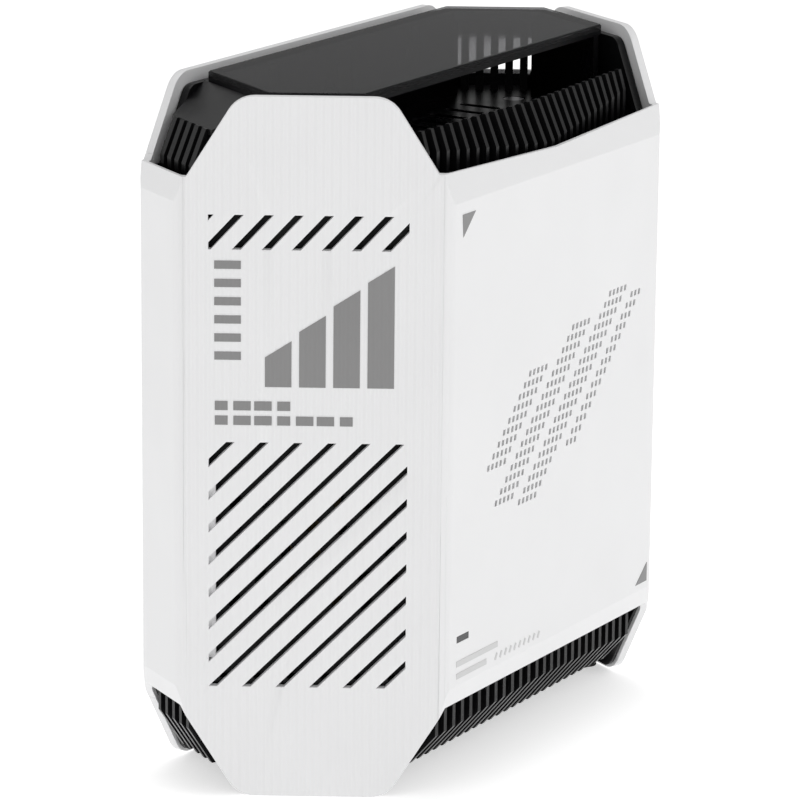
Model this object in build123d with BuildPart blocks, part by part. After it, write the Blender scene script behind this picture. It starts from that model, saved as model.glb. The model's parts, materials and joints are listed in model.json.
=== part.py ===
from build123d import *
import math
import os

os.makedirs("parts", exist_ok=True)

# A tall hexagonal mesh router. +Z is up and the origin is on the table under the middle of
# the body. The perforated long panel is the front (-Y) and the sockets are at the rear (+Y).
# Seen from above, six upright facets meet at 120 degrees. Three of them (left flank, right
# flank and rear) run the full height as arches. The other three (front and two narrow
# corners) stop short, and ribbed vents show above and below them.

# ---- driving dimensions, millimetres ----
height = 192.0
foot_lift = 0.5
front_w = 116.0
flank_w = 72.0
corner_w = 23.0
rear_w = front_w + flank_w - corner_w
depth = (flank_w + corner_w) * math.sin(math.radians(60))
front_y = -depth / 2
rear_y = depth / 2

shell_t = 2.4
edge_r = 4.0
arch_run = 16.0
arch_slope = 1.6
arch_corner_r = 8.0
lip_end_z = 172.0
lip_mid_z = 169.7
lip_corner_z = 170.5
lip_bevel_z = 163.7
lip_bevel_in = 1.7
hem_z = 25.5
hem_bevel_z = 31.0
hem_bevel_in = 1.2

fit_gap = 0.3
deck_inset = shell_t + 0.4
deck_t = 3.0
top_deck_z = 163.0
bottom_deck_z = 30.0
fin_pitch = 4.3
fin_t = 1.5
corner_fin_t = 2.3
fin_depth = 2.4
front_fins = 26
corner_fins = 5

# how far the window's edge stands behind each facet, in the order of the facets
WINDOW_INSETS = [23.2, 6.5, 18.0, 6.5, 23.6, 6.5]
window_t = 1.6
window_top_z = height - 0.2
rim_t = 1.3
rim_w = 3.5

base_z = 7.8
base_t = 2.0
base_arch_inset = 4.2
base_low_inset = 18.0

board_y = 21.9
board_t = 1.6
board_w = 136.0
board_z = (36.0, 154.0)

bay_w = 132.0
bay_z = (36.0, 62.0)
bay_mid_z = (bay_z[0] + bay_z[1]) / 2
bezel_face_y = rear_y - 1.5
socket_face_y = bezel_face_y - 0.2

button_travel = 1.5
button_gap = 0.1

# ---- the six facets, listed anticlockwise from the front ----
FACET_ANGLES = [-90, -30, 30, 90, 150, 210]
FACET_WIDTHS = [front_w, flank_w, corner_w, rear_w, corner_w, flank_w]
FRONT, RIGHT_FLANK, RIGHT_CORNER, REAR, LEFT_CORNER, LEFT_FLANK = range(6)
ARCH_FACETS = [RIGHT_FLANK, REAR, LEFT_FLANK]
LOW_FACETS = [FRONT, RIGHT_CORNER, LEFT_CORNER]


def facet_normal(facet):
    """Outward direction of a facet."""
    angle = math.radians(FACET_ANGLES[facet])
    return Vector(math.cos(angle), math.sin(angle), 0)


def facet_distance(facet):
    """How far a facet's outer face stands from the middle axis."""
    if facet in (FRONT, REAR):
        return depth / 2
    if facet in (LEFT_FLANK, RIGHT_FLANK):
        return front_w / 2 * math.cos(math.radians(30)) + depth / 4
    x = front_w / 2 + flank_w / 2
    y = front_y + flank_w * math.sin(math.radians(60))
    return x * math.cos(math.radians(30)) + y / 2


def corner_points(insets):
    """Corner points of the plan hexagon with every facet moved inwards by its own inset."""
    points = []
    for facet in range(6):
        following = (facet + 1) % 6
        near = facet_normal(facet)
        far = facet_normal(following)
        near_d = facet_distance(facet) - insets[facet]
        far_d = facet_distance(following) - insets[following]
        det = near.X * far.Y - near.Y * far.X
        x = (near_d * far.Y - far_d * near.Y) / det
        y = (near.X * far_d - far.X * near_d) / det
        points.append((x, y))
    return points


def outline(arch_inset, low_inset):
    """The plan hexagon with one inset for the arches and one for the low facets."""
    return corner_points([arch_inset if facet in ARCH_FACETS else low_inset for facet in range(6)])


def window_outline(arch_shrink, low_shrink):
    """The window's outline, made smaller by one amount at the arches and one elsewhere."""
    shrinks = [arch_shrink if facet in ARCH_FACETS else low_shrink for facet in range(6)]
    return corner_points([inset + shrink for inset, shrink in zip(WINDOW_INSETS, shrinks)])


def facet_middle(facet):
    """Middle of a facet's outer face, at table level."""
    corners = outline(0, 0)
    a = corners[facet - 1]
    b = corners[facet]
    return Vector((a[0] + b[0]) / 2, (a[1] + b[1]) / 2, 0)


def facet_plane(facet, inset=0.0):
    """Plane lying on a facet: x runs to the right as seen from outside, y is up."""
    normal = facet_normal(facet)
    along = Vector(-normal.Y, normal.X, 0)
    return Plane(origin=facet_middle(facet) - normal * inset, x_dir=along, z_dir=normal)


def side_plane(facet, along_mm=0.0):
    """Plane square to a facet: x is the depth inwards from its face, y is up."""
    normal = facet_normal(facet)
    along = Vector(-normal.Y, normal.X, 0)
    return Plane(origin=facet_middle(facet) + along * along_mm, x_dir=-normal, z_dir=along)


def block(x, y, z, mode=Mode.ADD):
    """A box between two limits on each axis."""
    with Locations(((x[0] + x[1]) / 2, (y[0] + y[1]) / 2, (z[0] + z[1]) / 2)):
        Box(x[1] - x[0], y[1] - y[0], z[1] - z[0], mode=mode)


def rear_pin(x, z, y, radius, mode=Mode.ADD):
    """A round pin or hole that runs front to rear between two y limits."""
    with Locations(Location((x, (y[0] + y[1]) / 2, z), (90, 0, 0))):
        Cylinder(radius, y[1] - y[0], mode=mode)


def write(built, name):
    """Label a finished sub-part and save it as its own file."""
    built.part.label = name
    export_step(built.part, f"parts/{name}.step")


# ======================= outer shell =======================
mask_overhang = 3.0
mask_depth = 9.0


def arch_outline(facet, inset, margin=0.0):
    """An arch's outline at this depth, drawn in by a margin: sloping shoulders, round corners."""
    flat = FACET_WIDTHS[facet] / 2 - arch_run
    wide = FACET_WIDTHS[facet] / 2 + mask_overhang
    rise = (arch_run + mask_overhang) * arch_slope
    with BuildSketch(facet_plane(facet, inset)) as arch:
        with BuildLine():
            Polyline(
                (-flat, foot_lift),
                (flat, foot_lift),
                (wide, foot_lift + rise),
                (wide, height - rise),
                (flat, height),
                (-flat, height),
                (-wide, height - rise),
                (-wide, foot_lift + rise),
                close=True,
            )
        make_face()
        tips = arch.vertices().group_by(Axis.Z)
        fillet(tips[0] + tips[-1], radius=arch_corner_r)
        if margin:
            offset(amount=-margin)
    return arch.sketch


# Each arch facet keeps a full-height panel.
arch_masks = []
for facet in ARCH_FACETS:
    with BuildPart() as arch_mask:
        extrude(arch_outline(facet, -1.0), amount=-mask_depth)
    arch_masks.append(arch_mask.part)

# Each low facet keeps a panel between its hem and its lip. The front lip dips in the middle.
low_masks = []
for facet in LOW_FACETS:
    half = FACET_WIDTHS[facet] / 2
    end_z = lip_end_z if facet == FRONT else lip_corner_z
    mid_z = lip_mid_z if facet == FRONT else lip_corner_z - 0.01
    with BuildPart() as low_mask:
        with BuildSketch(facet_plane(facet, -1.0)):
            with BuildLine():
                Polyline(
                    (-half - 2, hem_z),
                    (half + 2, hem_z),
                    (half + 2, end_z),
                    (half, end_z),
                    (0, mid_z),
                    (-half, end_z),
                    (-half - 2, end_z),
                    close=True,
                )
            make_face()
        extrude(amount=-mask_depth + 1)
    low_masks.append(low_mask.part)

with BuildPart() as shell_ring:
    with BuildSketch(Plane.XY.offset(foot_lift)) as ring_outline:
        Polygon(*outline(0, 0), align=None)
        fillet(ring_outline.vertices(), radius=edge_r)
    extrude(amount=height - foot_lift)
    with BuildSketch(Plane.XY.offset(foot_lift)) as ring_hollow:
        Polygon(*outline(shell_t, shell_t), align=None)
        fillet(ring_hollow.vertices(), radius=edge_r - shell_t)
    extrude(amount=height - foot_lift, mode=Mode.SUBTRACT)

with BuildPart() as keep:
    for mask in arch_masks + low_masks:
        add(mask)

# The lips of the low facets lean inwards, and their hems do so slightly.
lean_top = height + 4
lip_lean = lip_bevel_in * (lean_top - lip_bevel_z) / (lip_end_z - lip_bevel_z)
hem_lean = hem_bevel_in * (hem_bevel_z + 4) / (hem_bevel_z - hem_z)
with BuildPart() as full_shell:
    add(shell_ring.part)
    add(keep.part, mode=Mode.INTERSECT)
    for facet in LOW_FACETS:
        reach = FACET_WIDTHS[facet] / 2 + 12
        with BuildSketch(side_plane(facet, -reach)):
            with BuildLine():
                Polyline(
                    (0, lip_bevel_z), (-4, lip_bevel_z), (-4, lean_top), (lip_lean, lean_top), close=True
                )
            make_face()
        extrude(amount=2 * reach, mode=Mode.SUBTRACT)
        with BuildSketch(side_plane(facet, -reach)):
            with BuildLine():
                Polyline((0, hem_bevel_z), (hem_lean, -4), (-4, -4), (-4, hem_bevel_z), close=True)
            make_face()
        extrude(amount=2 * reach, mode=Mode.SUBTRACT)

# ---- slanted vent slots in both flanks ----
slot_block_mid = -1.4
slot_block_w = 52.6
low_block_z = (31.4, 99.2)
low_slot_pitch = 8.97
low_slot_w = 1.6
low_slot_slant = 45.1
low_slot_first = 1.05
low_slot_count = 14
top_row_z = (151.3, 160.6)
top_slot_pitch = 7.85
top_slot_w = 1.75
top_slot_slant = 47.0
top_slot_first = -0.5
top_slot_count = 7


def slot_group(facet, z_range, pitch, width, slant, first, count):
    """Parallel slanted slots, trimmed to one upright block of a flank."""
    side = 1 if facet == LEFT_FLANK else -1
    mid_x = side * slot_block_mid
    mid_z = (z_range[0] + z_range[1]) / 2
    left = -slot_block_w / 2
    shift = (z_range[1] - z_range[0]) / 2 / math.tan(math.radians(slant))
    with BuildSketch(facet_plane(facet, -1.0)) as slots:
        for index in range(count):
            x = left + first + index * pitch + shift
            for wrap in (0, -1):
                column = x + wrap * count * pitch
                with Locations((mid_x + side * column, mid_z)):
                    Rectangle(300, width, rotation=side * slant)
        with Locations((mid_x, mid_z)):
            Rectangle(slot_block_w, z_range[1] - z_range[0], mode=Mode.INTERSECT)
    return slots.sketch


# ---- perforation of the front panel: slanted bands of small raked holes ----
dot_pitch_x = 2.2
dot_pitch_z = 2.7
dot_w = 1.2
dot_h = 1.6
dot_rake = 0.35
dot_margin = 4.0
dot_skin = 1.1
# Every band is (first column, last column, lowest row, highest row, columns gained per row).
DOT_BANDS = [
    (0, 4, 5, 14, 1.25),
    (7, 11, 1, 17, 1.25),
    (14, 18, 0, 19, 1.25),
    (21, 23, 4, 18, 1.25),
]
dot_origin_x = -51.0
dot_origin_z = 74.5


def dot_positions():
    """Centres of the holes, row by row, in the front panel's own plane."""
    places = []
    for first, last, low, high, gain in DOT_BANDS:
        for row in range(low, high):
            stagger = row * gain
            for column in range(first, last + 1):
                x = dot_origin_x + (column + stagger) * dot_pitch_x
                places.append((x, dot_origin_z + row * dot_pitch_z))
    return places


dots = dot_positions()
dot_x = [x for x, _ in dots]
dot_z = [z for _, z in dots]
diffuser_x = (min(dot_x) - dot_margin, max(dot_x) + dot_margin)
diffuser_z = (min(dot_z) - dot_margin, max(dot_z) + dot_margin)
diffuser_y = front_y + dot_skin

lens_x = (-front_w / 2 + 5.0, -front_w / 2 + 11.4)
lens_z = (42.9, 44.8)

seam_x = rear_w / 2 - 3.5
seam_gap = 0.15
strip_z = (39.0, 91.0)
strip_w = 1.8

with BuildPart() as wrap_shell:
    add(full_shell.part)
    block((-seam_x, seam_x), (rear_y - shell_t - 0.5, rear_y + 5), (-5, height + 5), mode=Mode.SUBTRACT)
    for facet in (LEFT_FLANK, RIGHT_FLANK):
        low_slots = slot_group(
            facet, low_block_z, low_slot_pitch, low_slot_w, low_slot_slant, low_slot_first, low_slot_count
        )
        extrude(low_slots, amount=-shell_t - 2, mode=Mode.SUBTRACT)
        top_slots = slot_group(
            facet, top_row_z, top_slot_pitch, top_slot_w, top_slot_slant, top_slot_first, top_slot_count
        )
        extrude(top_slots, amount=-shell_t - 2, mode=Mode.SUBTRACT)
    # an upright strip that backs the front ends of the left flank's slots
    with BuildSketch(facet_plane(LEFT_FLANK, 1.5)):
        strip_x = slot_block_mid - slot_block_w / 2 + strip_w / 2
        with Locations((strip_x, (strip_z[0] + strip_z[1]) / 2)):
            Rectangle(strip_w, strip_z[1] - strip_z[0])
    extrude(amount=-shell_t + 1.0)
    # the pocket that takes the diffuser, then the holes through the thinned skin
    block(diffuser_x, (diffuser_y, front_y + shell_t + 1), diffuser_z, mode=Mode.SUBTRACT)
    with BuildSketch(Plane.XZ.offset(-front_y + 1)) as dot_faces:
        with Locations(*dots):
            Polygon(
                (-dot_w / 2 - dot_rake / 2, -dot_h / 2),
                (dot_w / 2 - dot_rake / 2, -dot_h / 2),
                (dot_w / 2 + dot_rake / 2, dot_h / 2),
                (-dot_w / 2 + dot_rake / 2, dot_h / 2),
            )
    extrude(amount=-dot_skin - 2, mode=Mode.SUBTRACT)
    block(lens_x, (front_y - 1, front_y + shell_t + 1), lens_z, mode=Mode.SUBTRACT)
write(wrap_shell, "wrap_shell")

# ---- rear shell panel with the socket bay and four countersunk holes ----
rear_screw_x = 74.0
rear_screw_zs = (48.0, 146.0)
rear_head_r = 3.2
screw_shank_r = 1.2
thread_r = 1.25
clearance_r = 1.7
with BuildPart() as rear_shell:
    add(full_shell.part)
    block(
        (-seam_x + seam_gap, seam_x - seam_gap),
        (rear_y - shell_t - 0.4, rear_y + 5),
        (-5, height + 5),
        mode=Mode.INTERSECT,
    )
    with BuildSketch(facet_plane(REAR)) as bay_cut:
        with Locations((0, bay_mid_z)):
            RectangleRounded(bay_w, bay_z[1] - bay_z[0], 3)
    extrude(amount=-shell_t - 1, mode=Mode.SUBTRACT)
    for x in (-rear_screw_x, rear_screw_x):
        for z in rear_screw_zs:
            with Locations(facet_plane(REAR).location * Pos(x, z, 0)):
                CounterSinkHole(clearance_r, rear_head_r, depth=shell_t + 1)
write(rear_shell, "rear_shell")


# ======================= ribbed vents =======================
def fin_offsets(count):
    """Evenly spaced fin positions along a facet, centred on its middle."""
    return [(index - (count - 1) / 2) * fin_pitch for index in range(count)]


def fin_groups():
    """Every fin as its facet and its place along it."""
    groups = [(FRONT, x) for x in fin_offsets(front_fins)]
    groups += [(LEFT_CORNER, x) for x in fin_offsets(corner_fins)]
    groups += [(RIGHT_CORNER, x) for x in fin_offsets(corner_fins)]
    return groups


def spread(facet, along):
    """0 at the middle of the front and 1 at its ends. The corner vents are like mid-span."""
    return abs(along) / (front_w / 2) if facet == FRONT else 0.3


def fin(facet, along, points):
    """Outline of one upright fin, square to its facet: depth behind the face, height."""
    with BuildSketch(side_plane(facet, along)) as profile:
        with BuildLine():
            Polyline(*points, close=True)
        make_face()
    return profile.sketch


def cheeks(z_range, margin, plate_t):
    """Plates just behind the three arches that follow their outlines, a little inside them."""
    with BuildPart() as plates:
        for facet in ARCH_FACETS:
            extrude(arch_outline(facet, deck_inset, margin), amount=-plate_t)
        with BuildSketch(Plane.XY.offset(z_range[0])) as inside:
            Polygon(*outline(deck_inset, deck_inset), align=None)
            fillet(inside.vertices(), radius=deck_corner_r)
        extrude(inside.sketch, amount=z_range[1] - z_range[0], mode=Mode.INTERSECT)
    return plates.part


deck_corner_r = 1.5
deck_top = top_deck_z + deck_t
rim_z = window_top_z - window_t - rim_t
wall_t = 2.5
vent_slot = (3.0, 13.0)
vent_slot_pitch = 9.0
post_places = [(-70.0, 14.0), (70.0, 14.0), (-44.0, -21.0), (44.0, -21.0)]
post_head_r = 3.2
post_head_t = 1.6

# Fin profiles. A "fold" is how much further in a fin stands at the ends of the front.
fin_foot_in = 3.6
fin_foot_fold = 7.0
top_bend_z = 170.5
top_bend_rise = 6.0
top_tip_in = 8.6
top_tip_fold = 3.4
front_tip_z = 181.5
crest_w = 1.2
crest_inner_in = 16.5
crest_inner_z = 177.0
corner_tip_z = 182.0
cheek_t = 2.2
top_cheek_margin = 3.4
plinth_t = 0.8
plinth_top_z = lip_mid_z - 0.3
hood_t = 1.6
hood_reach = 30.0
hood_arch_inset = 5.0

# A smooth hood runs from the tips of each corner's fins up to the window.
with BuildPart() as hoods:
    for facet in (LEFT_CORNER, RIGHT_CORNER):
        tip_in = top_tip_in + top_tip_fold * spread(facet, 0) + 0.6
        pane_in = WINDOW_INSETS[facet]
        hood_outline = fin(
            facet,
            -hood_reach,
            [
                (tip_in, corner_tip_z - hood_t),
                (tip_in, corner_tip_z),
                (pane_in, rim_z),
                (pane_in + rim_w - 1, rim_z),
                (pane_in + rim_w - 1, rim_z - hood_t),
            ],
        )
        extrude(hood_outline, amount=2 * hood_reach)
    with BuildSketch(Plane.XY) as between_arches:
        Polygon(*outline(hood_arch_inset, 0), align=None)
    extrude(between_arches.sketch, amount=height, mode=Mode.INTERSECT)

# The front fins stand on a line that is folded outwards in the middle. Each fin is upright
# at first and then leans back to its tip.
with BuildPart() as top_vent_crown:
    with BuildSketch(Plane.XY.offset(top_deck_z)) as top_deck:
        Polygon(*outline(deck_inset, deck_inset), align=None)
        fillet(top_deck.vertices(), radius=deck_corner_r)
    extrude(amount=deck_t)
    for facet, along in fin_groups():
        f = spread(facet, along)
        foot = fin_foot_in + fin_foot_fold * f
        tip = top_tip_in + top_tip_fold * f
        bend_z = top_bend_z + top_bend_rise * f
        if facet == FRONT:
            crest = [
                (tip, front_tip_z),
                (tip + crest_w, front_tip_z),
                (crest_inner_in, crest_inner_z),
                (crest_inner_in, deck_top - 1),
            ]
        else:
            crest = [
                (tip, corner_tip_z),
                (tip + fin_depth, corner_tip_z),
                (tip + fin_depth, deck_top - 1),
            ]
        fin_points = [(foot, deck_top - 1), (foot, bend_z)] + crest
        thickness = fin_t if facet == FRONT else corner_fin_t
        extrude(fin(facet, along, fin_points), amount=thickness / 2, both=True)
    # a low wall all round lines the inside of the lips
    with BuildSketch(Plane.XY.offset(deck_top - 1)):
        Polygon(*outline(deck_inset, deck_inset), align=None)
        Polygon(*outline(deck_inset + plinth_t, deck_inset + plinth_t), align=None, mode=Mode.SUBTRACT)
    extrude(amount=plinth_top_z - deck_top + 1)
    # walls behind the arches carry the window rim
    with BuildSketch(Plane.XY.offset(deck_top)):
        Polygon(*window_outline(1.0, 0.6), align=None)
        Polygon(*window_outline(1.0 + wall_t, -8.0), align=None, mode=Mode.SUBTRACT)
    extrude(amount=rim_z - deck_top)
    add(cheeks((deck_top - 1, rim_z), top_cheek_margin, cheek_t))
    add(hoods.part)
    # warm air leaves through slots in the deck
    with BuildSketch(Plane.XY.offset(deck_top)):
        with Locations((0, 16), (0, -20)):
            with GridLocations(vent_slot_pitch, 0, 13, 1):
                SlotOverall(vent_slot[1], vent_slot[0], rotation=90)
    extrude(amount=-deck_t, mode=Mode.SUBTRACT)
    with Locations(*[(x, y, deck_top) for x, y in post_places]):
        CounterBoreHole(clearance_r, post_head_r, post_head_t, depth=deck_t)
write(top_vent_crown, "top_vent_crown")

skirt_top = bottom_deck_z + deck_t
low_foot_fold = 2.0
low_bend_z = 18.8
low_bend_drop = 3.0
low_tip_z = 7.0
low_tip_in = 13.4
low_corner_tip_in = 11.2
low_cheek_t = 1.0
low_cheek_margin = 0.8
low_cheek_z = foot_lift + 1.2
pillar_r = 3.6
thread_depth = 12.0
base_screw_places = [(-62.0, 10.0), (62.0, 10.0), (-34.0, -14.0), (34.0, -14.0)]
on_top = (Align.CENTER, Align.CENTER, Align.MIN)
with BuildPart() as bottom_vent_skirt:
    with BuildSketch(Plane.XY.offset(bottom_deck_z)) as bottom_deck:
        Polygon(*outline(deck_inset, deck_inset), align=None)
        fillet(bottom_deck.vertices(), radius=deck_corner_r)
    extrude(amount=deck_t)
    for facet, along in fin_groups():
        f = spread(facet, along)
        foot = fin_foot_in + low_foot_fold * f
        tip = low_tip_in if facet == FRONT else low_corner_tip_in
        fin_points = [
            (foot, bottom_deck_z + 1),
            (foot, low_bend_z - low_bend_drop * f),
            (tip, low_tip_z),
            (tip + fin_depth, low_tip_z),
            (tip + fin_depth, bottom_deck_z + 1),
        ]
        extrude(fin(facet, along, fin_points), amount=fin_t / 2, both=True)
    with BuildSketch(Plane.XY.offset(base_z + base_t)):
        Polygon(*window_outline(1.0, 0.6), align=None)
        Polygon(*window_outline(1.0 + wall_t, -8.0), align=None, mode=Mode.SUBTRACT)
    extrude(amount=bottom_deck_z - base_z - base_t)
    add(cheeks((low_cheek_z, bottom_deck_z + 1), low_cheek_margin, low_cheek_t))
    with BuildSketch(Plane.XY.offset(bottom_deck_z)):
        with Locations((0, 30), (0, -20)):
            with GridLocations(vent_slot_pitch, 0, 11, 1):
                SlotOverall(vent_slot[1], vent_slot[0], rotation=90)
    extrude(amount=deck_t, mode=Mode.SUBTRACT)
    with Locations(*[(x, y, skirt_top) for x, y in post_places]):
        Hole(clearance_r, depth=deck_t)
    # threaded pillars under the deck take the base screws
    with Locations(*[(x, y, base_z + base_t) for x, y in base_screw_places]):
        Cylinder(pillar_r, bottom_deck_z - base_z - base_t, align=on_top)
        Cylinder(thread_r, thread_depth, align=on_top, mode=Mode.SUBTRACT)
write(bottom_vent_skirt, "bottom_vent_skirt")

# ======================= window and its rim =======================
window_corner_r = 1.5
window_edge = 0.4
with BuildPart() as window_rim:
    with BuildSketch(Plane.XY.offset(rim_z)) as rim_outline:
        Polygon(*window_outline(0, 0), align=None)
        fillet(rim_outline.vertices(), radius=window_corner_r)
        Polygon(*window_outline(rim_w, rim_w), align=None, mode=Mode.SUBTRACT)
    extrude(amount=rim_t)
write(window_rim, "window_rim")

with BuildPart() as top_window:
    with BuildSketch(Plane.XY.offset(rim_z + rim_t)) as pane_outline:
        Polygon(*window_outline(0, 0), align=None)
        fillet(pane_outline.vertices(), radius=window_corner_r)
    extrude(amount=window_t)
    chamfer(top_window.faces().sort_by(Axis.Z)[-1].edges(), length=window_edge)
write(top_window, "top_window")

# the strip of lights that glows under the window
light_board_size = (84.0, 12.0, 1.2)
light_board_y = -2.0
lamp = (5.0, 5.0, 1.4)
lamp_pitch = 13.0
with BuildPart() as light_board:
    with Locations((0, light_board_y, deck_top + light_board_size[2] / 2)):
        Box(*light_board_size)
    with Locations((0, light_board_y, deck_top + light_board_size[2])):
        with GridLocations(lamp_pitch, 0, 6, 1):
            Box(*lamp, align=on_top)
write(light_board, "light_board")

# ======================= base and feet =======================
foot_pad_t = 3.0
leg_inset = 4.6
leg_t = 5.0
leg_w = 26.0
rear_leg_x = 42.0
base_slot = (3.0, 16.0)
base_slot_pitch = (7.0, 22.0)


def leg_places(facet):
    """Where the legs stand along an arch: two at the rear, one under each flank."""
    return (-rear_leg_x, rear_leg_x) if facet == REAR else (0,)


with BuildPart() as base_plate:
    with BuildSketch(Plane.XY.offset(base_z)):
        Polygon(*outline(base_arch_inset, base_low_inset), align=None)
    extrude(amount=base_t)
    with BuildSketch(Plane.XY.offset(base_z)):
        with GridLocations(base_slot_pitch[0], base_slot_pitch[1], 13, 2):
            SlotOverall(base_slot[1], base_slot[0], rotation=90)
    extrude(amount=base_t, mode=Mode.SUBTRACT)
    for facet in ARCH_FACETS:
        with BuildSketch(facet_plane(facet, leg_inset)):
            with Locations(*[(x, (foot_pad_t + base_z) / 2) for x in leg_places(facet)]):
                Rectangle(leg_w, base_z - foot_pad_t)
        extrude(amount=-leg_t)
    with Locations(*[(x, y, base_z + base_t) for x, y in base_screw_places]):
        Hole(clearance_r, depth=base_t)
write(base_plate, "base_plate")

with BuildPart() as rubber_feet:
    for facet in ARCH_FACETS:
        with BuildSketch(facet_plane(facet, leg_inset - 0.5)):
            with Locations(*[(x, foot_pad_t / 2) for x in leg_places(facet)]):
                Rectangle(leg_w + 1, foot_pad_t)
        extrude(amount=-leg_t - 1)
    chamfer(rubber_feet.edges().group_by(Axis.Z)[0], length=0.5)
write(rubber_feet, "rubber_feet")

head_t = 1.6
base_head_r = 2.8
base_shank = 11.0
cross_slot = (3.4, 0.7)
with BuildPart() as base_screws:
    for x, y in base_screw_places:
        with Locations((x, y, base_z - head_t)):
            Cylinder(base_head_r, head_t, align=on_top)
        with Locations((x, y, base_z)):
            Cylinder(screw_shank_r, base_shank, align=on_top)
        with Locations((x, y, base_z - head_t)):
            Box(cross_slot[0], cross_slot[1], head_t, mode=Mode.SUBTRACT)
            Box(cross_slot[1], cross_slot[0], head_t, mode=Mode.SUBTRACT)
write(base_screws, "base_screws")

# a blank rating plate on the underside
plate_size = (44.0, 3.6, 0.3)
with BuildPart() as rating_plate:
    with BuildSketch(Plane.XY.offset(base_z - plate_size[2])):
        with Locations((0, -0.5)):
            RectangleRounded(plate_size[0], plate_size[1], 0.8)
    extrude(amount=plate_size[2])
write(rating_plate, "rating_plate")

# ======================= chassis =======================
frame_y = (13.0, 17.0)
frame_x = 79.0
frame_bar = 8.0
post_half = 3.5
rail_t = 4.0
rear_post_block = 8.0
standoff_r = 3.2
standoff_bore = 7.0
rear_post_r = 3.4
rear_bore = 9.0
board_screw_places = [(-64.0, 40.0), (64.0, 40.0), (-64.0, 149.0), (64.0, 149.0)]
with BuildPart() as chassis_frame:
    block((-frame_x, frame_x), frame_y, (skirt_top, top_deck_z))
    block(
        (-frame_x + frame_bar, frame_x - frame_bar),
        (frame_y[0] - 1, frame_y[1] + 1),
        (skirt_top + frame_bar, top_deck_z - frame_bar),
        mode=Mode.SUBTRACT,
    )
    for x, z in board_screw_places:
        side = 1 if x > 0 else -1
        rear_pin(x, z, (frame_y[0], board_y), standoff_r)
        block(sorted((x, side * (frame_x - 2))), frame_y, (z - 3, z + 3))
        rear_pin(x, z, (board_y - standoff_bore, board_y), thread_r, mode=Mode.SUBTRACT)
    for x in (-rear_screw_x, rear_screw_x):
        for z in rear_screw_zs:
            bore_y = (rear_y - shell_t - rear_bore, rear_y - shell_t)
            rear_pin(x, z, (frame_y[0], rear_y - shell_t), rear_post_r)
            rear_pin(x, z, bore_y, thread_r, mode=Mode.SUBTRACT)
    for x, y in post_places:
        if y < 0:
            post_x = (x - post_half, x + post_half)
            block(post_x, (y - post_half, y + post_half), (skirt_top, top_deck_z))
            block(post_x, (y, frame_y[1]), (skirt_top, skirt_top + rail_t))
            block(post_x, (y, frame_y[1]), (top_deck_z - rail_t, top_deck_z))
        else:
            with Locations((x, y, skirt_top + rail_t), (x, y, top_deck_z - rail_t)):
                Box(rear_post_block, rear_post_block, rear_post_block)
    with Locations(*[(x, y, top_deck_z) for x, y in post_places]):
        Hole(thread_r, depth=thread_depth)
    with Locations(*[(x, y, skirt_top) for x, y in post_places]):
        Cylinder(thread_r, thread_depth, align=on_top, mode=Mode.SUBTRACT)
write(chassis_frame, "chassis_frame")

chassis_head_r = 3.0
chassis_bite = 8.0
with BuildPart() as chassis_screws:
    for x, y in post_places:
        with Locations((x, y, deck_top - post_head_t)):
            Cylinder(chassis_head_r, post_head_t - 0.1, align=on_top)
        with Locations((x, y, top_deck_z - chassis_bite)):
            Cylinder(screw_shank_r, chassis_bite + 1.5, align=on_top)
        with Locations((x, y, bottom_deck_z - head_t)):
            Cylinder(chassis_head_r, head_t, align=on_top)
        with Locations((x, y, bottom_deck_z)):
            Cylinder(screw_shank_r, deck_t + chassis_bite, align=on_top)
write(chassis_screws, "chassis_screws")

# ======================= main board and what is on it =======================
board_rear_y = board_y + board_t
with BuildPart() as main_board:
    block((-board_w / 2, board_w / 2), (board_y, board_rear_y), board_z)
    for x, z in board_screw_places:
        rear_pin(x, z, (board_y - 1, board_rear_y + 1), 1.6, mode=Mode.SUBTRACT)
    # small parts along both faces
    for column in range(9):
        for row in range(2):
            x = -48 + 12 * column
            block((x, x + 4), (board_rear_y, board_rear_y + 1.2), (66 + 3 * row, 67.5 + 3 * row))
write(main_board, "main_board")

chip_t = 1.4
chips = [(0, 100, 24), (-36, 112, 18), (36, 112, 18), (-36, 78, 14), (36, 78, 14)]
with BuildPart() as front_chips:
    for x, z, size in chips:
        block((x - size / 2, x + size / 2), (board_y - chip_t, board_y), (z - size / 2, z + size / 2))
write(front_chips, "front_chips")

pad_t = 0.6
with BuildPart() as thermal_pads:
    for x, z, size in chips:
        pad = size - 2
        y_range = (board_y - chip_t - pad_t, board_y - chip_t)
        block((x - pad / 2, x + pad / 2), y_range, (z - pad / 2, z + pad / 2))
write(thermal_pads, "thermal_pads")

sink_rear_y = board_y - chip_t - pad_t
sink_x = 56.0
sink_z = (60.0, 134.0)
sink_fins = 17
sink_fin_t = 1.4
sink_fin_pitch = 2 * (sink_x - 1) / (sink_fins - 1)
front_sink_t = 3.0
front_sink_fin = 16.0
with BuildPart() as front_heat_sink:
    block((-sink_x, sink_x), (sink_rear_y - front_sink_t, sink_rear_y), sink_z)
    fin_mid_y = sink_rear_y - front_sink_t - front_sink_fin / 2
    with Locations((0, fin_mid_y, (sink_z[0] + sink_z[1]) / 2)):
        with GridLocations(sink_fin_pitch, 0, sink_fins, 1):
            Box(sink_fin_t, front_sink_fin, sink_z[1] - sink_z[0])
write(front_heat_sink, "front_heat_sink")

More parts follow.
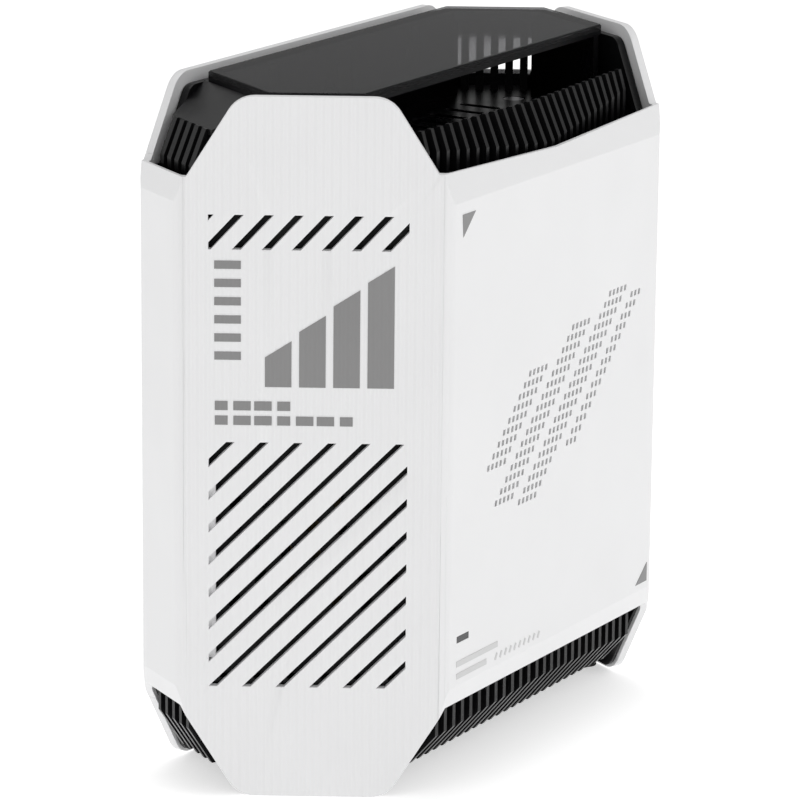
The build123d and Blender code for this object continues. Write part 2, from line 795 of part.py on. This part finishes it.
can_z = (76.0, 96.0)
can_wall = 0.4
can_t = 3.0
can_half = 15.0
with BuildPart() as shield_cans:
    for x in (-40, 0, 40):
        block((x - can_half, x + can_half), (board_rear_y, board_rear_y + can_t), can_z)
        hollow_x = (x - can_half + can_wall, x + can_half - can_wall)
        hollow_y = (board_rear_y - 1, board_rear_y + can_t - can_wall)
        block(hollow_x, hollow_y, (can_z[0] + can_wall, can_z[1] - can_wall), mode=Mode.SUBTRACT)
write(shield_cans, "shield_cans")

rear_sink_z = (74.0, 134.0)
rear_sink_t = 2.5
rear_sink_fin = 7.0
with BuildPart() as rear_heat_sink:
    sink_face_y = board_rear_y + can_t + rear_sink_t
    block((-sink_x, sink_x), (board_rear_y + can_t, sink_face_y), rear_sink_z)
    with Locations((0, sink_face_y + rear_sink_fin / 2, (rear_sink_z[0] + rear_sink_z[1]) / 2)):
        with GridLocations(sink_fin_pitch, 0, sink_fins, 1):
            Box(sink_fin_t, rear_sink_fin, rear_sink_z[1] - rear_sink_z[0])
write(rear_heat_sink, "rear_heat_sink")

board_head = (2.6, 1.8)
board_bite = 6.0
with BuildPart() as board_screws:
    for x, z in board_screw_places:
        rear_pin(x, z, (board_rear_y, board_rear_y + board_head[1]), board_head[0])
        rear_pin(x, z, (board_y - board_bite, board_rear_y), screw_shank_r)
write(board_screws, "board_screws")

with BuildPart() as rear_shell_screws:
    for x in (-rear_screw_x, rear_screw_x):
        for z in rear_screw_zs:
            rear_pin(x, z, (rear_y - shell_t - rear_bore + 1, rear_y - 1.2), screw_shank_r)
            with Locations(Location((x, rear_y - 0.9, z), (-90, 0, 0))):
                Cone(1.5, 2.8, 1.4)
            with Locations((x, rear_y - 0.2, z)):
                Box(3.0, 1.2, 0.6, mode=Mode.SUBTRACT)
                Box(0.6, 1.2, 3.0, mode=Mode.SUBTRACT)
write(rear_shell_screws, "rear_shell_screws")


# ======================= flank liners and aerials =======================
aerial_zs = (70.0, 128.0)
liner_gap = 1.6
liner_t = 1.2
liner_w = 60.0
liner_hole_r = 2.2
liner_hole_pitch = 7.0
liner_hole_zs = (68.0, 128.0)


def liner(facet):
    """Dark pierced liner that stands behind the slots of one flank."""
    liner_z = (skirt_top + 1.0, top_deck_z - 1.0)
    with BuildPart() as built:
        with BuildSketch(facet_plane(facet, shell_t + liner_gap)):
            with Locations((0, (liner_z[0] + liner_z[1]) / 2)):
                Rectangle(liner_w, liner_z[1] - liner_z[0])
            with Locations(*[(0, z) for z in liner_hole_zs]):
                with GridLocations(liner_hole_pitch, liner_hole_pitch, 7, 5):
                    RegularPolygon(liner_hole_r, 6, mode=Mode.SUBTRACT)
        extrude(amount=-liner_t)
    return built


left_liner = liner(LEFT_FLANK)
write(left_liner, "left_liner")
right_liner = liner(RIGHT_FLANK)
write(right_liner, "right_liner")

aerial_inset = shell_t + 7.0
aerial_size = (14.0, 44.0, 0.8)
clip_inset = shell_t + liner_gap + liner_t
with BuildPart() as flank_aerials:
    for facet in (LEFT_FLANK, RIGHT_FLANK):
        with BuildSketch(facet_plane(facet, aerial_inset)):
            with Locations(*[(0, z) for z in aerial_zs]):
                Rectangle(aerial_size[0], aerial_size[1])
        extrude(amount=-aerial_size[2])
write(flank_aerials, "flank_aerials")

with BuildPart() as aerial_clips:
    for facet in (LEFT_FLANK, RIGHT_FLANK):
        with BuildSketch(facet_plane(facet, clip_inset)):
            with Locations(*[(0, z + dz) for z in aerial_zs for dz in (-12, 12)]):
                Rectangle(6, 8)
        extrude(amount=clip_inset - aerial_inset)
write(aerial_clips, "aerial_clips")

front_board_y = (front_y + shell_t + 2.6, front_y + shell_t + 3.8)
with BuildPart() as dot_diffuser:
    block(
        (diffuser_x[0] + 0.2, diffuser_x[1] - 0.2),
        (diffuser_y, diffuser_y + 1.4),
        (diffuser_z[0] + 0.2, diffuser_z[1] - 0.2),
    )
write(dot_diffuser, "dot_diffuser")

with BuildPart() as front_light_board:
    block((-54, 50), front_board_y, (37, 132))
    for row in range(4):
        for column in range(7):
            x = -44 + column * 14
            z = 80 + row * 13
            block((x - 2.5, x + 2.5), (front_board_y[0] - 1.2, front_board_y[0]), (z - 2.5, z + 2.5))
write(front_light_board, "front_light_board")

with BuildPart() as front_aerials:
    for x in (-26, 22):
        block((x - 7, x + 7), (front_board_y[1] + 2.0, front_board_y[1] + 2.8), (60, 104))
        block((x - 3, x + 3), (front_board_y[1], front_board_y[1] + 2.0), (78, 86))
write(front_aerials, "front_aerials")

with BuildPart() as status_lens:
    block(
        (lens_x[0] + 0.05, lens_x[1] - 0.05),
        (front_y, front_board_y[0]),
        (lens_z[0] + 0.05, lens_z[1] - 0.05),
    )
write(status_lens, "status_lens")

# ======================= sockets and buttons =======================
power_jack_x = 58.0
power_button_x = 46.0
usb_x = 31.5
wan_x = 14.0
lan_xs = (-4.5, -22.0, -39.5)
pairing_x = -52.5
reset_x = -60.5
rj_w = 16.0
rj_h = 13.6
rj_hollow = (11.8, 8.2)
rj_depth = 13.0
usb_body = (14.6, 7.4)
usb_hollow = (12.6, 5.2)
jack_body = (10.0, 11.5)
jack_bore_r = 3.15
jack_bore_depth = 9.5
jack_pin_r = 1.05
power_r = 4.2
pairing_r = 3.0
reset_r = 1.2

button_specs = {
    "power_button": (power_button_x, power_r, bezel_face_y + 0.9),
    "pairing_button": (pairing_x, pairing_r, bezel_face_y + 0.5),
    "reset_button": (reset_x, reset_r, bezel_face_y - 0.4),
}
bezel_skin = 1.4
flange_y = (rear_y - shell_t - fit_gap - bezel_skin, rear_y - shell_t - fit_gap)

with BuildPart() as io_bezel:
    with BuildSketch(Plane.XZ.offset(-flange_y[0])):
        with Locations((0, bay_mid_z)):
            Rectangle(bay_w + 6, bay_z[1] - bay_z[0] + 6)
    extrude(amount=-(flange_y[1] - flange_y[0]))
    with BuildSketch(Plane.XZ.offset(-flange_y[0])):
        with Locations((0, bay_mid_z)):
            RectangleRounded(bay_w - 2 * fit_gap, bay_z[1] - bay_z[0] - 2 * fit_gap, 2.7)
    extrude(amount=-(bezel_face_y - flange_y[0]))
    for x in (wan_x,) + lan_xs:
        block(
            (x - rj_w / 2 - 0.2, x + rj_w / 2 + 0.2),
            (flange_y[0] - 1, rear_y + 1),
            (bay_mid_z - rj_h / 2 - 0.2, bay_mid_z + rj_h / 2 + 0.2),
            mode=Mode.SUBTRACT,
        )
    for x, size in ((usb_x, usb_body), (power_jack_x, jack_body)):
        block(
            (x - size[0] / 2 - 0.2, x + size[0] / 2 + 0.2),
            (flange_y[0] - 1, rear_y + 1),
            (bay_mid_z - size[1] / 2 - 0.2, bay_mid_z + size[1] / 2 + 0.2),
            mode=Mode.SUBTRACT,
        )
    for x, radius, _ in button_specs.values():
        rear_pin(x, bay_mid_z, (flange_y[0] - 1, rear_y + 1), radius + button_gap, mode=Mode.SUBTRACT)
write(io_bezel, "io_bezel")


def network_jacks(places):
    """Eight-way network sockets standing on the board, open towards the rear."""
    with BuildPart() as built:
        for x in places:
            low_z = bay_mid_z - rj_h / 2
            block((x - rj_w / 2, x + rj_w / 2), (board_rear_y, socket_face_y), (low_z, low_z + rj_h))
            hollow_y = (socket_face_y - rj_depth, socket_face_y + 1)
            block(
                (x - rj_hollow[0] / 2, x + rj_hollow[0] / 2),
                hollow_y,
                (low_z + 3.4, low_z + 3.4 + rj_hollow[1]),
                mode=Mode.SUBTRACT,
            )
            block((x - 3.1, x + 3.1), hollow_y, (low_z + 1.2, low_z + 4), mode=Mode.SUBTRACT)
            # step above the hollow where the contact comb sits
            block((x - 4.2, x + 4.2), hollow_y, (low_z + 11, low_z + 12.6), mode=Mode.SUBTRACT)
    return built


wan_jack = network_jacks([wan_x])
write(wan_jack, "wan_jack")
lan_jacks = network_jacks(lan_xs)
write(lan_jacks, "lan_jacks")

with BuildPart() as jack_contacts:
    for x in (wan_x,) + lan_xs:
        top_z = bay_mid_z - rj_h / 2 + 12.6
        with Locations((x, socket_face_y - rj_depth / 2 - 1, top_z - 0.35)):
            with GridLocations(1.02, 0, 8, 1):
                Box(0.4, 9.0, 0.5)
write(jack_contacts, "jack_contacts")

with BuildPart() as usb_port:
    half_w, half_h = usb_body[0] / 2, usb_body[1] / 2
    block(
        (usb_x - half_w, usb_x + half_w),
        (board_rear_y, socket_face_y),
        (bay_mid_z - half_h, bay_mid_z + half_h),
    )
    block(
        (usb_x - usb_hollow[0] / 2, usb_x + usb_hollow[0] / 2),
        (socket_face_y - 12, socket_face_y + 1),
        (bay_mid_z - usb_hollow[1] / 2, bay_mid_z + usb_hollow[1] / 2),
        mode=Mode.SUBTRACT,
    )
write(usb_port, "usb_port")

with BuildPart() as usb_tongue:
    block(
        (usb_x - 5.6, usb_x + 5.6),
        (socket_face_y - 12, socket_face_y - 1.5),
        (bay_mid_z + 0.5, bay_mid_z + 2.4),
    )
write(usb_tongue, "usb_tongue")

with BuildPart() as power_jack:
    half_w, half_h = jack_body[0] / 2, jack_body[1] / 2
    block(
        (power_jack_x - half_w, power_jack_x + half_w),
        (board_rear_y, socket_face_y),
        (bay_mid_z - half_h, bay_mid_z + half_h),
    )
    bore_y = (socket_face_y - jack_bore_depth, socket_face_y + 1)
    rear_pin(power_jack_x, bay_mid_z, bore_y, jack_bore_r, mode=Mode.SUBTRACT)
write(power_jack, "power_jack")

with BuildPart() as power_pin:
    rear_pin(power_jack_x, bay_mid_z, (socket_face_y - jack_bore_depth, socket_face_y - 1.0), jack_pin_r)
    fillet(power_pin.edges().sort_by(Axis.Y)[-1], radius=0.4)
write(power_pin, "power_pin")

# Each button is a cap with a flange behind the bezel and a stem that meets a switch.
switch_y = (board_rear_y, board_rear_y + 4.0)
stem_end_y = switch_y[1] + button_travel + 0.4
for name, (x, radius, face_y) in button_specs.items():
    with BuildPart() as button:
        rear_pin(x, bay_mid_z, (flange_y[0] - 1.5, face_y), radius)
        if radius > 2:
            fillet(button.edges().sort_by(Axis.Y)[-1], radius=0.5)
        rear_pin(x, bay_mid_z, (flange_y[0] - 1.4, flange_y[0] - 0.1), radius + 0.9)
        rear_pin(x, bay_mid_z, (stem_end_y, flange_y[0] - 1.0), min(radius, 1.4))
    write(button, name)

with BuildPart() as button_switches:
    for x, radius, _ in button_specs.values():
        block((x - 3, x + 3), switch_y, (bay_mid_z - 3, bay_mid_z + 3))
write(button_switches, "button_switches")

# ======================= printed marks =======================
ink_t = 0.12
level_bars = [(-10.6, 12.5), (-1.6, 19.5), (7.4, 26.5), (16.4, 33.0)]
level_bar_w = 7.0
level_base_z = 114.4
tick_x = -22.6
dash_row_z = (109.2, 105.2)

with BuildPart() as printed_marks:
    with BuildSketch(facet_plane(LEFT_FLANK)):
        # bars of rising height, each with a slanted top
        for left, tall in level_bars:
            with BuildLine():
                Polyline(
                    (left - 2.2, level_base_z),
                    (left - 2.2 + level_bar_w, level_base_z),
                    (left - 2.2 + level_bar_w, level_base_z + tall),
                    (left - 2.2, level_base_z + tall - 4.5),
                    close=True,
                )
            make_face()
        # a column of short ticks beside it
        with Locations((tick_x, 135)):
            with GridLocations(0, 4.9, 1, 6):
                Rectangle(7.0, 2.2)
        # two rows of dashes under it
        for row_z, count in ((dash_row_z[0], 4), (dash_row_z[1], 7)):
            for index in range(count):
                with Locations((-26.6 + 2.3 + index * 5.5, row_z)):
                    Rectangle(4.6 if index % 3 else 3.4, 2.5)
    extrude(amount=ink_t)
    with BuildSketch(facet_plane(FRONT)):
        with BuildLine():
            Polyline((-52.7, 160.4), (-46.0, 160.4), (-52.2, 154.3), close=True)
        make_face()
        with BuildLine():
            Polyline((54.8, 38.5), (54.8, 33.0), (48.2, 33.0), close=True)
        make_face()
    extrude(amount=ink_t)
write(printed_marks, "printed_marks")

with BuildPart() as faint_marks:
    with BuildSketch(facet_plane(FRONT)):
        with Locations((-42.0, 37.0)):
            Rectangle(22.0, 1.6)
        with Locations((-45.0, 33.6)):
            Rectangle(16.0, 1.6)
        with Locations((-20.0, 33.6)):
            with GridLocations(2.6, 0, 10, 1):
                Rectangle(2.0, 0.8, rotation=60)
    extrude(amount=ink_t)
write(faint_marks, "faint_marks")
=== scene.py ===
import json
import math

import bpy
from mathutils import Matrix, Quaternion, Vector

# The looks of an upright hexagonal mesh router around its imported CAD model. Metres, +Z up.
# The perforated long panel is the front (-Y) and the sockets are at the rear (+Y).

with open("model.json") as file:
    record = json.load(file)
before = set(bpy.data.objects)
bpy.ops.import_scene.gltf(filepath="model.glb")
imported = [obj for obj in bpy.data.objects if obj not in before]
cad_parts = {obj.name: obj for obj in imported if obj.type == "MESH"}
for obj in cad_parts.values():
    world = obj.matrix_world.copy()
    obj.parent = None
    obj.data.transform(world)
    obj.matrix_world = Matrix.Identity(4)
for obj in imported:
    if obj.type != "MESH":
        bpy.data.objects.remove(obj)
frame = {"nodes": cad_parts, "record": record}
nodes = frame["nodes"]
slot_of_node = {part["node"]: part["material_slot"] for part in frame["record"]["subparts"]}
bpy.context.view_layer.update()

MM = 0.001

# Texture scales, in repeats per metre: a larger number is a finer texture.
MOTTLE_SCALE = 38.0
HANDLING_SCALE = 75.0
STREAK_SCALE = 900.0
PATCH_SCALE = 60.0
WIPE_SCALE = 45.0
PANE_WAVE_SCALE = 30.0
TRACK_SCALE = 260.0

WELD_DISTANCE = 0.002 * MM
ROUND_SEGMENTS = 2
SHARP_ANGLE = 38.0

FLOOR_SIZE = 40.0
FLOOR_SHADE = (0.93, 0.93, 0.93, 1.0)
FLOOR_GLOW = 0.52
STUDIO_STRENGTH = 0.56
LIGHT_AIM = (0.0, 0.0, 0.09)

FACE_NORMALS = {
    "left_flank": (-math.cos(math.radians(30)), -0.5, 0.0),
    "right_flank": (math.cos(math.radians(30)), -0.5, 0.0),
    "rear": (0.0, 1.0, 0.0),
}


# ======================= node-graph helpers =======================
class Graph:
    """A material's node tree with short calls for the nodes that these materials share."""

    def __init__(self, name):
        self.material = bpy.data.materials.new(name)
        self.material.use_nodes = True
        self.tree = self.material.node_tree
        self.shader = self.tree.nodes["Principled BSDF"]
        self.coords = self.tree.nodes.new("ShaderNodeTexCoord")

    def node(self, kind, **settings):
        made = self.tree.nodes.new(kind)
        for key, value in settings.items():
            setattr(made, key, value)
        return made

    def link(self, source, target):
        self.tree.links.new(source, target)

    def math(self, operation, first, second=None, clamp=False):
        made = self.node("ShaderNodeMath", operation=operation, use_clamp=clamp)
        for index, value in enumerate((first, second)):
            if value is None:
                continue
            if isinstance(value, (int, float)):
                made.inputs[index].default_value = value
            else:
                self.link(value, made.inputs[index])
        return made.outputs[0]

    def dot(self, vector, direction):
        made = self.node("ShaderNodeVectorMath", operation="DOT_PRODUCT")
        self.link(vector, made.inputs[0])
        made.inputs[1].default_value = direction
        return made.outputs["Value"]

    def noise(self, scale, detail=3.0, stretch=(1.0, 1.0, 1.0)):
        mapping = self.node("ShaderNodeMapping")
        mapping.inputs["Scale"].default_value = stretch
        self.link(self.coords.outputs["Object"], mapping.inputs["Vector"])
        made = self.node("ShaderNodeTexNoise")
        made.inputs["Scale"].default_value = scale
        made.inputs["Detail"].default_value = detail
        self.link(mapping.outputs["Vector"], made.inputs["Vector"])
        return made.outputs["Fac"]

    def spread(self, value, low, high, from_low=0.3, from_high=0.7):
        made = self.node("ShaderNodeMapRange")
        made.inputs["From Min"].default_value = from_low
        made.inputs["From Max"].default_value = from_high
        made.inputs["To Min"].default_value = low
        made.inputs["To Max"].default_value = high
        self.link(value, made.inputs["Value"])
        return made.outputs["Result"]

    def blend_colors(self, factor, first, second):
        made = self.node("ShaderNodeMix", data_type="RGBA")
        color_a = next(s for s in made.inputs if s.name == "A" and s.type == "RGBA")
        color_b = next(s for s in made.inputs if s.name == "B" and s.type == "RGBA")
        color_a.default_value = (*first, 1.0)
        color_b.default_value = (*second, 1.0)
        self.link(factor, made.inputs["Factor"])
        return next(s for s in made.outputs if s.type == "RGBA")

    def bump(self, height, depth, after=None, strength=1.0):
        made = self.node("ShaderNodeBump")
        made.inputs["Strength"].default_value = strength
        made.inputs["Distance"].default_value = depth
        self.link(height, made.inputs["Height"])
        if after is not None:
            self.link(after, made.inputs["Normal"])
        return made.outputs["Normal"]

    def finish(self, normal=None):
        if normal is not None:
            self.link(normal, self.shader.inputs["Normal"])
        return self.material


def shade(color, factor):
    return tuple(max(0.0, min(1.0, channel * factor)) for channel in color)


FLUTE_PITCH = 2.2 * MM
FLUTE_DEPTH = 0.09 * MM
FLUTE_FACING = 0.97


def flutes(graph):
    """Height of fine upright flutes on the two flanks and the rear, nothing elsewhere."""
    total = None
    for normal in FACE_NORMALS.values():
        along = (-normal[1], normal[0], 0.0)
        place = graph.dot(graph.coords.outputs["Object"], along)
        wave = graph.math("COSINE", graph.math("MULTIPLY", place, 2 * math.pi / FLUTE_PITCH))
        facing = graph.dot(graph.coords.outputs["Normal"], normal)
        mask = graph.math("GREATER_THAN", facing, FLUTE_FACING)
        masked = graph.math("MULTIPLY", wave, mask)
        total = masked if total is None else graph.math("ADD", total, masked)
    return total


def plastic(name, color, rough, grain=2600.0, depth=0.012 * MM, vary=0.06, fluted=0.0,
            specular=0.5):
    """Moulded plastic: fine spark-eroded grain, faint handling marks, uneven gloss."""
    graph = Graph(name)
    mottle = graph.noise(MOTTLE_SCALE, 4.0)
    darker, lighter = shade(color, 1 - vary), shade(color, 1 + vary / 2)
    base = graph.blend_colors(graph.spread(mottle, 0.0, 1.0), darker, lighter)
    graph.link(base, graph.shader.inputs["Base Color"])
    handled = graph.noise(HANDLING_SCALE, 5.0, (1.0, 1.0, 0.35))
    gloss = graph.spread(handled, rough * 0.86, min(1.0, rough * 1.16))
    graph.link(gloss, graph.shader.inputs["Roughness"])
    graph.shader.inputs["Specular IOR Level"].default_value = specular
    normal = graph.bump(graph.noise(grain, 2.0), depth, strength=0.6)
    if fluted:
        normal = graph.bump(flutes(graph), fluted, normal)
    return graph.finish(normal)


def metal(name, color, rough, streak=(1.0, 1.0, 18.0), depth=0.006 * MM):
    """Drawn or plated metal with fine streaks and duller patches."""
    graph = Graph(name)
    graph.shader.inputs["Metallic"].default_value = 1.0
    patches = graph.noise(PATCH_SCALE, 4.0)
    base = graph.blend_colors(graph.spread(patches, 0.0, 1.0), shade(color, 0.86), color)
    graph.link(base, graph.shader.inputs["Base Color"])
    lines = graph.noise(STREAK_SCALE, 3.0, streak)
    graph.link(graph.spread(lines, rough * 0.75, rough * 1.3), graph.shader.inputs["Roughness"])
    return graph.finish(graph.bump(lines, depth, strength=0.5))


def circuit_board(name, color, track):
    """Solder mask over raised copper tracks and rows of plated pads."""
    graph = Graph(name)
    bricks = graph.node("ShaderNodeTexBrick")
    bricks.inputs["Scale"].default_value = TRACK_SCALE
    bricks.inputs["Mortar Size"].default_value = 0.12
    bricks.inputs["Mortar Smooth"].default_value = 0.2
    graph.link(graph.coords.outputs["Object"], bricks.inputs["Vector"])
    base = graph.blend_colors(bricks.outputs["Fac"], color, track)
    graph.link(base, graph.shader.inputs["Base Color"])
    graph.link(graph.spread(graph.noise(120.0), 0.28, 0.42), graph.shader.inputs["Roughness"])
    return graph.finish(graph.bump(bricks.outputs["Fac"], 0.03 * MM, strength=0.7))


def smoked_glass(name):
    """Smoked polished pane with faint wipe marks."""
    graph = Graph(name)
    graph.shader.inputs["Base Color"].default_value = (0.15, 0.15, 0.155, 1.0)
    graph.shader.inputs["Transmission Weight"].default_value = 0.9
    graph.shader.inputs["IOR"].default_value = 1.05
    graph.shader.inputs["Specular IOR Level"].default_value = 0.02
    wiped = graph.noise(WIPE_SCALE, 5.0, (0.4, 1.6, 1.0))
    graph.link(graph.spread(wiped, 0.03, 0.10), graph.shader.inputs["Roughness"])
    return graph.finish(graph.bump(graph.noise(PANE_WAVE_SCALE, 1.0), 0.01 * MM, strength=0.3))


MATERIALS = {
    "white_shell": plastic("shell_white", (0.82, 0.82, 0.825), 0.40, vary=0.012, fluted=FLUTE_DEPTH),
    "vent_black": plastic(
        "vent_black", (0.006, 0.006, 0.0065), 0.30, grain=3200.0, depth=0.004 * MM, vary=0.2, specular=0.22
    ),
    "rim_black": plastic(
        "rim_black", (0.004, 0.004, 0.0045), 0.4, depth=0.002 * MM, vary=0.2, specular=0.05
    ),
    "smoked_window": smoked_glass("window_smoked"),
    "rubber_pad": plastic(
        "foot_rubber", (0.022, 0.022, 0.022), 0.85, grain=1500.0, depth=0.03 * MM, vary=0.2
    ),
    "frame_black": plastic("frame_black", (0.03, 0.03, 0.033), 0.55, vary=0.2),
    "board_green": circuit_board("board_green", (0.012, 0.075, 0.035), (0.03, 0.16, 0.08)),
    "chip_black": plastic("chip_black", (0.02, 0.02, 0.021), 0.6, depth=0.02 * MM, vary=0.15),
    "pad_grey": plastic("pad_grey", (0.42, 0.46, 0.52), 0.9, depth=0.03 * MM),
    "sink_aluminium": metal("sink_aluminium", (0.72, 0.73, 0.75), 0.38),
    "can_steel": metal("can_steel", (0.66, 0.66, 0.66), 0.3),
    "screw_steel": metal("screw_steel", (0.45, 0.45, 0.46), 0.34, (1.0, 1.0, 1.0)),
    "liner_black": plastic("liner_black", (0.009, 0.009, 0.0095), 0.75, vary=0.2),
    "aerial_board": circuit_board("aerial_board", (0.03, 0.05, 0.035), (0.2, 0.14, 0.07)),
    "clip_black": plastic("clip_black", (0.03, 0.03, 0.031), 0.6, vary=0.15),
    "diffuser_grey": plastic("diffuser_grey", (0.07, 0.07, 0.07), 0.55, depth=0.02 * MM),
    "lens_dark": plastic("lens_dark", (0.03, 0.03, 0.033), 0.12, depth=0.001 * MM),
    "ink_grey": plastic("ink_grey", (0.24, 0.238, 0.238), 0.42, vary=0.03, fluted=FLUTE_DEPTH),
    "ink_faint": plastic("ink_faint", (0.62, 0.62, 0.62), 0.45, vary=0.03),
    "plate_silver": plastic("plate_silver", (0.5, 0.5, 0.5), 0.35, vary=0.05),
    "bezel_black": plastic(
        "bezel_black", (0.008, 0.008, 0.0085), 0.5, grain=1800.0, depth=0.03 * MM, vary=0.15, specular=0.25
    ),
    "wan_blue": plastic("wan_blue", (0.03, 0.12, 0.42), 0.42),
    "lan_grey": plastic("lan_grey", (0.07, 0.07, 0.075), 0.42, vary=0.1),
    "contact_brass": metal("contact_gold", (0.86, 0.62, 0.24), 0.2, (1.0, 12.0, 1.0)),
    "usb_steel": metal("usb_steel", (0.62, 0.62, 0.63), 0.22, (1.0, 12.0, 1.0)),
    "usb_blue": plastic("usb_blue", (0.03, 0.16, 0.55), 0.4),
    "jack_black": plastic("jack_black", (0.016, 0.016, 0.018), 0.4, vary=0.1),
    "pin_chrome": metal("pin_chrome", (0.78, 0.78, 0.79), 0.12, (1.0, 10.0, 1.0)),
    "button_black": plastic("button_black", (0.085, 0.085, 0.09), 0.32, vary=0.1),
    "switch_grey": plastic("switch_grey", (0.2, 0.2, 0.21), 0.5),
}

# ======================= edges =======================
# Widths of the small rounds that moulding leaves on every edge.
EDGE_ROUNDS = {
    "wrap_shell": 0.22,
    "rear_shell": 0.22,
    "top_vent_crown": 0.18,
    "bottom_vent_skirt": 0.18,
    "window_rim": 0.3,
    "top_window": 0.12,
    "rubber_feet": 0.3,
    "io_bezel": 0.2,
    "front_heat_sink": 0.1,
    "rear_heat_sink": 0.1,
}
PLAIN_NODES = {"printed_marks", "faint_marks", "jack_contacts"}
SMALL_ROUND = 0.08

for node_name, obj in nodes.items():
    slot = slot_of_node[node_name]
    obj.data.materials.clear()
    obj.data.materials.append(MATERIALS[slot])
    if node_name in PLAIN_NODES:
        continue
    weld = obj.modifiers.new("weld", "WELD")
    weld.merge_threshold = WELD_DISTANCE
    bevel = obj.modifiers.new("round", "BEVEL")
    bevel.width = EDGE_ROUNDS.get(node_name, SMALL_ROUND) * MM
    bevel.segments = ROUND_SEGMENTS
    bevel.limit_method = "ANGLE"
    bevel.angle_limit = math.radians(SHARP_ANGLE)
    bevel.use_clamp_overlap = True

# ======================= stage, light, camera =======================
bpy.ops.mesh.primitive_plane_add(size=FLOOR_SIZE, location=(0, 0, 0))
floor = bpy.context.object
floor.name = "floor"
graph = Graph("floor_white")
graph.shader.inputs["Base Color"].default_value = FLOOR_SHADE
graph.shader.inputs["Roughness"].default_value = 0.9
graph.shader.inputs["Specular IOR Level"].default_value = 0.1
graph.shader.inputs["Emission Color"].default_value = (1.0, 1.0, 1.0, 1.0)
graph.shader.inputs["Emission Strength"].default_value = FLOOR_GLOW
floor.data.materials.append(graph.finish())

world = bpy.data.worlds.new("studio")
bpy.context.scene.world = world
world.use_nodes = True
world.node_tree.nodes["Background"].inputs["Color"].default_value = (1.0, 1.0, 1.0, 1.0)
world.node_tree.nodes["Background"].inputs["Strength"].default_value = STUDIO_STRENGTH


def softbox(name, azimuth, elevation, distance, size, power):
    """A large soft light aimed at the middle of the body."""
    a, e = math.radians(azimuth), math.radians(elevation)
    aim = Vector(LIGHT_AIM)
    away = Vector((math.sin(a) * math.cos(e), -math.cos(a) * math.cos(e), math.sin(e)))
    data = bpy.data.lights.new(name, "AREA")
    data.shape = "RECTANGLE"
    data.size, data.size_y = size
    data.energy = power
    lamp = bpy.data.objects.new(name, data)
    bpy.context.scene.collection.objects.link(lamp)
    lamp.location = aim + away * distance
    lamp.rotation_mode = "QUATERNION"
    lamp.rotation_quaternion = (-away).to_track_quat("-Z", "Y")


softbox("key", 15.0, 38.0, 1.6, (1.0, 1.0), 3.8)
softbox("fill", -95.0, 30.0, 1.8, (1.0, 1.2), 2.7)
softbox("top", 150.0, 70.0, 1.5, (0.9, 0.9), 3.0)

CAMERA_TARGET = Vector((-0.0611, -0.0276, 0.1103))
CAMERA_AZIMUTH = -58.85
CAMERA_ELEVATION = 14.71
CAMERA_ROLL = 0.53
CAMERA_DISTANCE = 1.168
CAMERA_LENS = 199.0

camera_data = bpy.data.cameras.new("camera")
camera_data.sensor_width = 36.0
camera_data.lens = CAMERA_LENS
camera_data.clip_start = 0.01
camera_data.clip_end = 100.0
camera = bpy.data.objects.new("camera", camera_data)
bpy.context.scene.collection.objects.link(camera)
azimuth, elevation = math.radians(CAMERA_AZIMUTH), math.radians(CAMERA_ELEVATION)
back = Vector((
    math.sin(azimuth) * math.cos(elevation),
    -math.cos(azimuth) * math.cos(elevation),
    math.sin(elevation),
))
camera.location = CAMERA_TARGET + back * CAMERA_DISTANCE
camera.rotation_mode = "QUATERNION"
roll = Quaternion((0.0, 0.0, 1.0), math.radians(CAMERA_ROLL))
camera.rotation_quaternion = (-back).to_track_quat("-Z", "Y") @ roll
bpy.context.scene.camera = camera
bpy.context.scene.view_settings.view_transform = "Standard"
